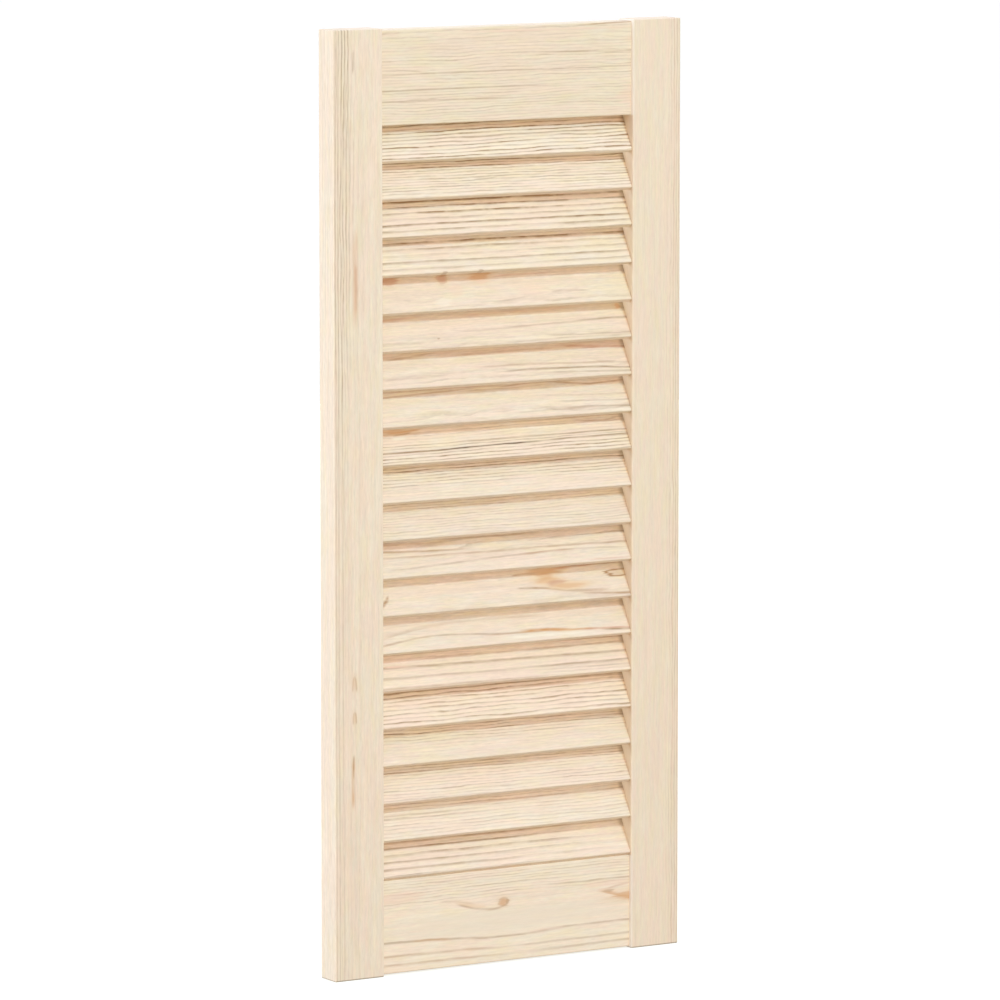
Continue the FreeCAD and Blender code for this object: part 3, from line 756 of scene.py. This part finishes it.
# The slats, counted from the top as they are seen.
SLAT_GRAIN = {
    1: quarter_sawn(
        spacing=2.8, lines=1.1, height=16.4, drift=0.009, wander=1.2, pale=0.65, pink=0.1, tone=1.03,
        streaks=[
            slat_line((-160, 15.4), (0, 16.2), (160, 18), below=1.4),
            # Painted light: a pale pink line that lightens the shadow band under the top rail.
            level_line(24.3, strength=0.6, colour=PINK_WOOD, width=1.8),
        ],
    ),
    2: quarter_sawn(
        spacing=2.2, lines=0.75, height=9.6, wander=1.3, pink=0.2,
        streaks=[
            slat_line((-30, 14.6), (-18, 13.4), (-8, 15), strength=0.3),
            slat_line((-26, 12.6), (-16, 12), (-4, 13.4), strength=0.3),
            # Painted light: a pale pink line that lightens the shadow band under slat 1.
            level_line(24.6, strength=0.45, colour=PINK_WOOD, width=2),
        ],
    ),
    3: quarter_sawn(
        spacing=4.5, lines=1, height=9.1, wander=0.9, pale=0.25,
        streaks=[level_line(8.9, strength=0.35, below=1.4)],
    ),
    4: quarter_sawn(
        spacing=5.2, lines=0.7, height=9.4, pink=0.2,
        streaks=[level_line(9.2, strength=0.3, below=1.2), level_line(4.2, strength=0.15)],
        knots=[slat_knot(along, -0.2, 2.4, 1, stain=0, colour=BROWN) for along in (-53, -23)],
    ),
    5: flat_sawn(
        pith_height=18, spacing=2.4, lines=0.3, wander=2, pale=0.25, pink=0.2,
        streaks=[
            slat_line((-12, 24.4), (16, 24.6), (50, 25), colour=REDDISH),
            slat_line((-104, 24.6), (-94, 25.6), (-82, 27.4), strength=0.7, colour=BROWN),
            slat_line((-52, 26), (-46, 27.6), (-38, 28.8), strength=0.9, colour=BROWN),
            slat_line((-25, 27.8), (-15, 28), (-6, 26), strength=0.9, colour=BROWN),
            slat_line((38, 9.2), (55, 9.2), (74, 9)),
            slat_line((-16, 3.6), (4, 5.2), (24, 8.4), strength=0.3, below=1.8),
        ],
        knots=[
            slat_knot(-94, 25, 8, 4, colour=REDDISH),
            slat_knot(-49.5, 25, 4.2, 4.4, rim=0.2, colour=REDDISH),
            slat_knot(-18, 25, 9, 3.6, strength=0.7, lean=0.8),
            slat_knot(-17, 20.6, 5, 2.2, strength=0.45, stain=0.2, colour=PINK_PATCH),
            slat_knot(-40, 15, 7, 6, strength=0.35, stain=0, colour=PINK_PATCH),
            slat_knot(24, 12, 14, 5, strength=0.35, stain=0, colour=PINK_PATCH),
            slat_knot(-53, 6, 7, 4, strength=0.5, stain=0, colour=PALE_ARRIS),
        ],
    ),
    6: flat_sawn(
        pith_height=22, spacing=2.6, lines=0.3, wander=2.2, pale=0.15,
        streaks=[
            slat_line((-45, 12.4), (-10, 12.6), (30, 13.4), strength=0.3, width=1.2),
            slat_line((0, 13.2), (34, 13.8), (72, 14.6), colour=BROWN, below=1.2),
            slat_line((56, 14.8), (88, 15), (130, 14.6), strength=0.8, below=1.1),
            slat_line((24, 4.6), (64, 3.8), (150, 2.4), strength=0.45),
            slat_line((-130, 4.2), (-92, 5), (-60, 5.6), strength=0.3, width=1.4),
            slat_line((-20, 1.2), (40, 1.8), (150, 0.4)),
            level_line(25, strength=0.15, colour=BROWN, width=3.5),
            slat_line((-120, 24), (-86, 24.4), (-60, 25.4), strength=0.5, colour=REDDISH, below=1.4),
            slat_line((-50, 24.2), (10, 24.8), (80, 26), strength=0.35, colour=ORANGE, width=1.6),
        ],
        knots=[
            slat_knot(-57, 7.4, 1.4, 0.8, strength=0.5, stain=0, colour=BROWN),
            slat_knot(101, 24.4, 2.6, 2.4),
        ],
    ),
    7: flat_sawn(
        pith_height=26, spacing=2.2, lines=0.28, wander=1.8, pale=0.3,
        streaks=[
            slat_line(
                (-40, 13.2), (20, 12.3), (140, 6.8), strength=0.55, colour=BROWN, below=1.3, above=1.2
            ),
            slat_line((-16, 7.9), (28, 8.1), (140, 2.2), strength=0.95, below=1.2, above=0.9),
            slat_line((10, 5.4), (60, 4), (140, 0), strength=0.5),
            slat_line((-110, 6), (-76, 7.4), (-40, 8.2), strength=0.3, width=1.5),
            slat_line((46, 25.6), (74, 23.5), (130, 19.8), strength=0.9, colour=REDDISH, width=1.6),
            level_line(25, strength=0.3, colour=REDDISH, width=3.5),
            slat_line((-100, 22.2), (-76, 24), (-50, 26), strength=0.6, colour=BROWN, below=1.2),
            slat_line((-60, 22.4), (0, 23.6), (70, 24.8), strength=0.5, colour=BROWN, below=1.2),
        ],
    ),
    8: flat_sawn(
        pith_height=20, spacing=2.2, lines=0.35, wander=1.8, pink=0.2,
        streaks=[
            slat_line((20, 16.4), (64, 15.2), (150, 12.6), strength=0.35),
            slat_line((36, 11.4), (72, 10), (150, 7.4), strength=0.5),
            slat_line((40, 5.8), (72, 4.9), (150, 1.8), strength=0.6),
            slat_line((0, 4.8), (40, 4.6), (84, 3.4), strength=0.35),
            slat_line((-120, 21.6), (-70, 23.8), (-10, 25.4), strength=0.7, colour=BROWN),
            slat_line((-120, 26.6), (-60, 27), (10, 26.4), strength=0.5, colour=REDDISH, width=1.2),
            slat_line((-10, 25), (30, 26.8), (72, 27), strength=0.7, colour=BROWN),
            slat_line((-40, 23.4), (10, 24), (56, 25), strength=0.5, colour=BROWN),
            slat_line((40, 27.2), (64, 24.8), (82, 23.2), strength=0.85, colour=BROWN),
            slat_line((64, 23.4), (86, 23.8), (130, 25.8), strength=0.85, colour=BROWN),
        ],
    ),
    9: quarter_sawn(
        spacing=2.4, lines=1.1, height=4.8, drift=0.01, wander=1.1, pale=0.25, pink=0.3,
        bold_at=(40, -11), bold_reach=(400, 11),
        streaks=[
            slat_line((-200, 8.4), (-70, 8.6), (-10, 9.4), strength=0.9, below=1.3),
            slat_line((-66, 8.8), (-14, 9.5), (36, 10.4), strength=1, colour=DARK_LINE),
            slat_line((10, 10.2), (60, 10.8), (180, 12.4), strength=0.75),
            slat_line((30, 14), (76, 14.6), (170, 15), strength=0.7),
            slat_line((-46, 13.4), (0, 13.8), (50, 14.2)),
            slat_line((62, 24.6), (78, 23), (104, 25), strength=0.6, colour=BROWN),
            slat_line((40, 26.4), (80, 27), (140, 26), strength=0.5, colour=BROWN),
            slat_line((-92, 22.2), (-84, 22.7), (-74, 24), strength=0.7, colour=BROWN),
            slat_line((-98, 24.2), (-82, 24.6), (-64, 26), strength=0.7, colour=ORANGE),
        ],
        knots=[
            slat_knot(-88, 25, 12, 2.2, strength=0.4, stain=0.4),
            slat_knot(-88, 19.6, 7, 1.4, strength=0.7, stain=0, colour=PALE_ARRIS),
        ],
    ),
    10: quarter_sawn(
        spacing=2.35, lines=0.8, height=16.4, pink=0.2, tone=0.98, bold_at=(0, 6), bold_reach=(400, 10),
    ),
    11: quarter_sawn(spacing=2.2, lines=0.34, height=10, wander=1.7, pink=0.2, tone=0.965),
    12: flat_sawn(
        pith_height=2, spacing=2.3, lines=0.3, wander=1.6,
        streaks=[
            slat_line((-130, 21), (-70, 19.1), (-20, 17.8), strength=0.75, colour=BROWN, below=1.3),
            slat_line((-120, 15.5), (-50, 14.8), (30, 14), strength=0.6, colour=BROWN, below=1.3),
            slat_line((0, 14), (60, 14.1), (150, 12.4), strength=0.6, colour=BROWN, below=1.3),
            slat_line((78, 13.6), (98, 13.3), (130, 13), strength=0.6),
            slat_line((-106, 5.4), (-56, 7.1), (-20, 9), strength=0.5, below=1.2),
            slat_line((-34, 8.6), (0, 9.8), (50, 10.2), strength=0.55, below=1.2),
            slat_line((6, 10), (34, 10.2), (62, 10.4), strength=0.5, colour=REDDISH),
            slat_line((36, 10.5), (66, 10.3), (106, 9), strength=0.45),
            slat_line((60, 1.6), (90, 1), (130, 0.6), colour=REDDISH),
            slat_line((-60, 26.6), (-10, 26), (40, 25), strength=0.6, colour=BROWN),
            slat_line((-170, 24.4), (-90, 24.8), (-30, 25.4), strength=0.5, colour=BROWN),
        ],
    ),
    13: flat_sawn(
        pith_height=16, spacing=3, lines=0.25, wander=1.4, pink=0.2,
        streaks=[
            slat_line((8, 22.9), (19, 23.4), (30, 23), strength=1, colour=BROWN),
            slat_line((20, 22.4), (36, 23), (56, 23), strength=1, colour=BROWN, above=1.8),
            slat_line(
                (34, 25), (56, 26.4), (84, 27.2), strength=1.1, colour=REDDISH, below=1.4, above=1.2
            ),
            slat_line((48, 26.6), (76, 27.2), (116, 27), strength=1, colour=BROWN),
            slat_line((10, 13), (20, 12.6), (31, 12), strength=0.9),
            slat_line((20, 12.5), (36, 11), (54, 8.2), strength=0.8, colour=BROWN, above=1.6),
            slat_line(
                (44, 8.8), (66, 7.2), (92, 5.4), strength=0.65, colour=BROWN, below=1.6, above=1.8
            ),
            slat_line((60, 5.8), (88, 3.4), (126, 2), strength=1, colour=BROWN, below=1.2),
            slat_line((-108, 4), (-102, 9.6), (-96, 15), strength=1, colour=BROWN, below=2.8, above=2.2),
        ],
        knots=[
            slat_knot(36, 24.4, 14, 2.4, stain=0.4),
            slat_knot(37, 20.4, 8, 3, strength=0.55, stain=0.4),
            slat_knot(38, 17, 10, 2.6, strength=0.55),
            slat_knot(46, 14, 9, 3, stain=0.4, colour=REDDISH),
            slat_knot(57, 11.4, 11, 2.2, strength=0.45, stain=0.6),
            slat_knot(101, 18.5, 11, 2.6, strength=0.25, stain=0.2, rim=1, colour=BROWN),
        ],
    ),
    14: flat_sawn(
        pith_height=10, spacing=3, lines=0.28, wander=1.2, pink=0.2,
        streaks=[
            slat_line((-114, 4), (-84, 8.6), (-54, 11.2), strength=0.65, colour=BROWN, below=1.1),
            slat_line((-70, 11), (-36, 9.6), (8, 7), strength=0.65),
            slat_line((-22, 7.7), (10, 7.1), (42, 6.9), strength=0.7, colour=BROWN),
            slat_line((8, 7.7), (34, 7.4), (60, 6), strength=1.3, colour=ORANGE, below=1.5, above=1.8),
            slat_line((34, 6.6), (56, 6), (80, 5.4), strength=1.1, colour=KNOT, width=1.2),
            slat_line((54, 6), (84, 4.9), (132, 2.6), strength=0.9, colour=REDDISH, below=1.2),
            slat_line((78, 4.2), (98, 3.2), (132, 2.4), strength=1),
            slat_line((-112, 9), (-80, 15.4), (-44, 19), colour=BROWN, above=2.4),
            slat_line((-62, 18.8), (-20, 19.6), (42, 18.6), strength=0.35, colour=BROWN, above=1.8),
            slat_line(
                (-12, 4.2), (36, 3.4), (84, 2.4), strength=1.1, colour=PALE_ARRIS, below=1.8, above=1.4
            ),
        ],
    ),
    15: quarter_sawn(
        spacing=7.2, lines=0.25, height=15.7, drift=-0.01, wander=1.1, pale=0.15, pink=0.6,
        spread=SOFT_SPREAD,
        streaks=[
            slat_line((-170, 18), (0, 16.1), (170, 14.2), strength=0.75, below=1.6, above=1.2),
            slat_line((-102, 17.8), (-90, 17.4), (-76, 17), strength=1, colour=PINK_PATCH, width=1.2),
            slat_line((-4, 8.6), (60, 8.4), (170, 8.4), strength=0.75, below=1.3),
            slat_line((-170, 9.2), (-60, 8.6), (30, 8.5), strength=0.35, below=1.4),
            slat_line((10, 5.4), (70, 4.8), (170, 4)),
            slat_line((-170, 1), (-40, 0.6), (60, 0.4), strength=0.6, colour=BROWN),
            slat_line((20, 2.8), (70, 2.6), (170, 2.2), strength=0.3),
            slat_line((-170, 27), (-80, 27), (-10, 27.6), strength=0.7, colour=BROWN),
            slat_line((38, 27.4), (90, 26.8), (160, 26.4), strength=0.95, colour=BROWN, below=1.2),
        ],
    ),
    16: quarter_sawn(
        spacing=3.3, lines=0.8, height=10, wander=1.6, pale=0.3, pink=0.5, tone=1.03,
        streaks=[slat_line((-170, 26.4), (0, 26.2), (170, 23.6), strength=0.6, below=1.2)],
    ),
    17: quarter_sawn(
        spacing=2.4, lines=0.56, height=10, drift=-0.014, wander=1.3, pale=0.25, pink=0.2, tone=0.96,
        bold_at=(0, 9), bold_reach=(400, 11),
    ),
    18: quarter_sawn(spacing=2.3, lines=0.6, height=10, drift=-0.012, wander=1.3),
    19: quarter_sawn(
        spacing=2.6, lines=0.4, height=15.2, drift=-0.008, wander=1.4, pale=0.8, pink=0.1, tone=1.01,
        streaks=[
            slat_line((-170, 17.8), (-90, 17.7), (-20, 17.2), strength=0.35),
            slat_line((-170, 15.4), (-90, 15.2), (-10, 14.6), strength=0.35),
        ],
    ),
    20: quarter_sawn(
        spacing=5.2, lines=0.8, height=11.2, drift=-0.005, wander=0.9, bold_at=(-90, 0),
        bold_reach=(140, 100),
        streaks=[
            slat_line((-200, 21.8), (-80, 21.4), (40, 20.8), strength=0.5, below=1.2),
            slat_line((-200, 11.4), (-90, 11.2), (20, 10.8), strength=0.35, below=1.2),
            slat_line((-200, 5.8), (-90, 5.4), (20, 5), strength=0.3, below=1.2),
            level_line(25.6, colour=BROWN),
        ],
    ),
}

BOTTOM_RAIL_GRAIN = Grain(
    pith=(-12, -24), ring=1.7, lines=0.46, wander=1.2, pale=0.75, tone=1.06, contrast=0.85, spread=1.4,
    bold_at=(0, 27), bold_reach=(400, 12),
    streaks=[
        Streak((-150, -11.6), (-72, -12.6), (-6, -16.4), strength=0.85, below=1.2, above=0.9),
        Streak((-40, -15), (-6, -16.4), (54, -14.4), strength=0.7),
        Streak((20, -15.4), (70, -13.8), (150, -16), strength=0.65, below=1.1),
        Streak((-84, -12.4), (-66, -13), (-46, -14.4), strength=0.7, colour=ORANGE, width=1.2),
        Streak((16, -15.4), (34, -15), (54, -14.6), strength=0.5, colour=PINK_PATCH, width=1.6),
        Streak((-160, -22.2), (-40, -23), (10, -25), strength=0.6, colour=BROWN, below=1.2),
        Streak((-20, -24.6), (60, -24), (160, -23.4), strength=0.45, below=1.2),
        Streak((-160, -28.2), (-60, -28.8), (20, -29.6), strength=0.6, colour=BROWN, below=1.2),
        Streak((0, -29.6), (70, -29.2), (160, -28.6), strength=0.45, below=1.2),
        Streak((20, 18.6), (70, 18.2), (160, 17.6), strength=0.5),
        Streak((-60, 14), (-42, 13), (-26, 9.6), colour=BROWN),
        Streak((-46, 12.4), (-32, 8.8), (-14, 6.2), strength=0.7, colour=STAIN, below=0.6, above=3.2),
        Streak((-46, 12.4), (-24, 6.2), (-2, 5), strength=0.75, colour=BROWN),
        Streak((-20, 4.8), (-8, 5.2), (4, 10), strength=0.65, colour=BROWN),
        Streak((76, 10.8), (94, 5.8), (126, -4), strength=0.85, colour=ORANGE, above=2.4),
        Streak((80, 9.8), (91, 11.6), (126, 15), strength=0.5, colour=REDDISH),
    ],
    knots=[
        Knot((0, -4), (120, 11), stain=0, colour=PALE_WOOD),
        Knot((-92, 21), (22, 4.5), strength=0.4, stain=0, colour=PINK_PATCH),
        Knot((84, 15), (22, 2.5), strength=0.4, stain=0, colour=PINK_PATCH),
        Knot((-3, 9.6), (4.2, 3.1), rim=0.25, colour=ORANGE),
        Knot((0.4, 9.8), (1.6, 2.4), strength=0.35, stain=0, colour=BROWN),
        Knot((108, 4.4), (15, 3.6), strength=0.65),
        Knot((88, 9.2), (6, 1.3), strength=0.4, stain=0.2, colour=BROWN),
    ],
)
TOP_RAIL_GRAIN = Grain(
    pith=(70, -36), ring=1.9, lines=0.35, wander=1.5, contrast=0.7,
    streaks=[
        Streak((-160, 0.8), (0, 1.8), (160, 1.2), strength=0.45),
        Streak((-160, -11), (-20, -10), (60, -10.4), strength=0.45),
        Streak((-160, -18.4), (-60, -17.8), (20, -18.6)),
        Streak((20, 14), (70, 13.4), (160, 11.6)),
        Streak((-50, 30.4), (40, 30.6), (160, 30), colour=PINK_PATCH, width=1.6),
        Streak((56, 32.6), (88, 33.4), (130, 34), strength=0.7, colour=BROWN),
    ],
    knots=[Knot((108, -20), (14, 9), strength=0.4, stain=0, colour=PINK_PATCH)],
)
LEFT_STILE_GRAIN = Grain(
    pith=(11, 16), ring=1.6, lines=0.6, pink=0.1, pale=0.75, contrast=0.85,
    bold_at=(DOOR_HEIGHT / 2, -18), bold_reach=(300, 14), foot=-DOOR_HEIGHT / 2,
    streaks=[
        stile_line(-19.2, -19, -19.2, strength=0.2),
        stile_line(-16.4, -16.6, -17, strength=0.24),
        stile_line(-12.6, -13.2, -13.4, strength=0.2),
        Streak((100, -10.4), (300, -10.4), (700, -10.4), strength=0.25),
        Streak((180, -7.8), (340, -7.8), (700, -7.8), strength=0.25),
        Streak((126, -2.4), (170, -2.6), (206, -2), strength=0.45, colour=KNOT, below=4, above=3.4),
        Streak((140, -1.8), (162, -2), (182, -1.8), strength=0.3, colour=REDDISH, width=2),
        Streak((312, -4.2), (322, -3.8), (332, -3.4), below=0.8, above=1.6),
        Streak((-222, -5), (-200, -5.2), (-178, -4.6), strength=0.6, colour=KNOT, below=2.6, above=2.4),
        Streak((-198, -4.6), (-188, -4.8), (-178, -4.4), strength=0.6, colour=BROWN),
        Streak((-134, -2.4), (-127, -2.6), (-121, -3.7), strength=0.5, colour=BROWN),
        Streak((-134, -5.4), (-127, -5.2), (-121, -4.1), strength=0.5, colour=BROWN),
        Streak((-158, -2.6), (-152, -2.8), (-147, -3.7), strength=0.5, colour=BROWN),
        Streak((-158, -5.2), (-152, -5), (-147, -4.1), strength=0.5, colour=BROWN),
    ],
    knots=[
        Knot((-127, -3.9), (5, 1.7), strength=0.2, stain=0.2),
        Knot((-152, -3.9), (4, 1.4), strength=0.2, stain=0.2),
    ],
)
RIGHT_STILE_GRAIN = Grain(
    pith=(-9, 18), ring=1.5, lines=0.32, wander=1.2, pink=0.2, tone=0.99, contrast=0.62,
    bold_at=(0, 24), bold_reach=(1000, 14), painted_side_shade=0.6, foot=-DOOR_HEIGHT / 2,
    streaks=[
        stile_line(14.8, 15.2, 15.2, strength=0.14, colour=KNOT),
        stile_line(17, 17.2, 17.4, strength=0.13),
        stile_line(19.2, 19.2, 19.2, strength=0.15),
    ],
)


def dress_boards():
    """Give every solid its own piece of wood."""
    boards = {
        "left_stile": (STILE, LEFT_STILE_GRAIN),
        "right_stile": (STILE, RIGHT_STILE_GRAIN),
        "top_rail": (RAIL, TOP_RAIL_GRAIN),
        "bottom_rail": (RAIL, BOTTOM_RAIL_GRAIN),
    }
    for from_top, grain in SLAT_GRAIN.items():
        boards[f"slat_{SLAT_COUNT + 1 - from_top:02d}"] = (SLAT, grain)
    for number, (name, (kind, grain)) in enumerate(boards.items(), start=1):
        low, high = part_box(name)
        middle = (low + high) / 2 / MM
        set_material(name, make_pine(name, kind, middle, grain, number))
    set_material("corner_dowels", make_beech())


def set_material(name, material):
    """Give a solid one material."""
    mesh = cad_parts[name].data
    mesh.materials.clear()
    mesh.materials.append(material)


def direction(azimuth, elevation):
    """Direction from the door to a point, by degrees to the right of its front and above the floor."""
    turn, lift = math.radians(azimuth), math.radians(elevation)
    return Vector((math.sin(turn) * math.cos(lift), -math.cos(turn) * math.cos(lift), math.sin(lift)))


def place(name, data, target, way, distance):
    """Put a camera or lamp in a direction from a target, looking at it."""
    thing = bpy.data.objects.new(name, data)
    scene.collection.objects.link(thing)
    thing.location = target + distance * way
    thing.rotation_euler = (-way).to_track_quat("-Z", "Y").to_euler()
    return thing


# The photograph's view, by degrees to the right of the front and above the floor.
CAMERA_AZIMUTH = -31.045
CAMERA_ELEVATION = 7.36
CAMERA_DISTANCE = 5.1296
CAMERA_TARGET = Vector((-0.00157, 0, 0.34192))
CAMERA_SENSOR = 36
CAMERA_LENS = 252.75

# Tints of the lamps, and of the light all round from below and above the horizon.
KEY_TINT = (0.635, 1.0, 1.164)
LEFT_TINT = (0.838, 1.0, 1.089)
FRONT_TINT = (1.0, 0.76, 0.30)
BACK_TINT = (0.93, 1.0, 0.85)
GROUND_LIGHT = (0.52, 0.465, 0.424, 1)
SKY_LIGHT = (0.80, 0.744, 0.836, 1)
HORIZON = 0.02
WHITE = (1, 1, 1, 1)

# The floor's own colour, the light it gives off, and half its side.
FLOOR_PAINT = (0.4775, 0.5134, 0.457, 1)
FLOOR_ROUGHNESS = 0.9
FLOOR_GLOW = 0.6
FLOOR_HALF_SIZE = 30


def add_camera():
    """The photograph's view: a long lens, from the door's left and a little above."""
    data = bpy.data.cameras.new("camera")
    data.sensor_width = CAMERA_SENSOR
    data.lens = CAMERA_LENS
    way = direction(CAMERA_AZIMUTH, CAMERA_ELEVATION)
    scene.camera = place("camera", data, CAMERA_TARGET, way, CAMERA_DISTANCE)


def add_lamp(name, azimuth, elevation, distance, side, power, tint):
    """A square soft box."""
    data = bpy.data.lights.new(name, "AREA")
    data.size = side
    data.color = tint
    data.energy = power
    place(name, data, (cad_low + cad_high) / 2, direction(azimuth, elevation), distance)


def add_lamps():
    """A small key lamp above the front, and three large lamps round the door."""
    add_lamp("key", azimuth=12, elevation=38, distance=4.0, side=0.35, power=46.1, tint=KEY_TINT)
    add_lamp("left", azimuth=-97, elevation=14, distance=3.0, side=1.0, power=37, tint=LEFT_TINT)
    add_lamp("front", azimuth=-20, elevation=5, distance=3.5, side=2.2, power=24.4, tint=FRONT_TINT)
    add_lamp("back", azimuth=155, elevation=8, distance=3.5, side=1.8, power=31, tint=BACK_TINT)


def add_surround():
    """Soft light all round, on a white background."""
    world = bpy.data.worlds.new("studio")
    scene.world = world
    world.use_nodes = True
    nodes = Nodes(world.node_tree)
    background = world.node_tree.nodes["Background"]
    height = nodes.split(nodes.add("ShaderNodeTexCoord").outputs["Generated"])["Z"]
    surround = nodes.mix(nodes.fade(height, -HORIZON, HORIZON), GROUND_LIGHT, SKY_LIGHT)
    seen = nodes.add("ShaderNodeLightPath").outputs["Is Camera Ray"]
    nodes.feed(background.inputs["Color"], nodes.mix(seen, surround, WHITE))


def add_floor():
    """A plain white floor that throws no light back at the door."""
    half = FLOOR_HALF_SIZE
    corners = [(-half, -half, 0), (half, -half, 0), (half, half, 0), (-half, half, 0)]
    mesh = bpy.data.meshes.new("floor")
    mesh.from_pydata(corners, [], [(0, 1, 2, 3)])
    floor = bpy.data.objects.new("floor", mesh)
    scene.collection.objects.link(floor)
    white, _, shader = start_material("floor")
    shader.inputs["Base Color"].default_value = FLOOR_PAINT
    shader.inputs["Roughness"].default_value = FLOOR_ROUGHNESS
    shader.inputs["Emission Color"].default_value = WHITE
    shader.inputs["Emission Strength"].default_value = FLOOR_GLOW
    mesh.materials.append(white)
    floor.visible_diffuse = False
    floor.visible_glossy = False


scene.view_settings.view_transform = "Standard"
add_camera()
add_lamps()
add_surround()
add_floor()
dress_boards()
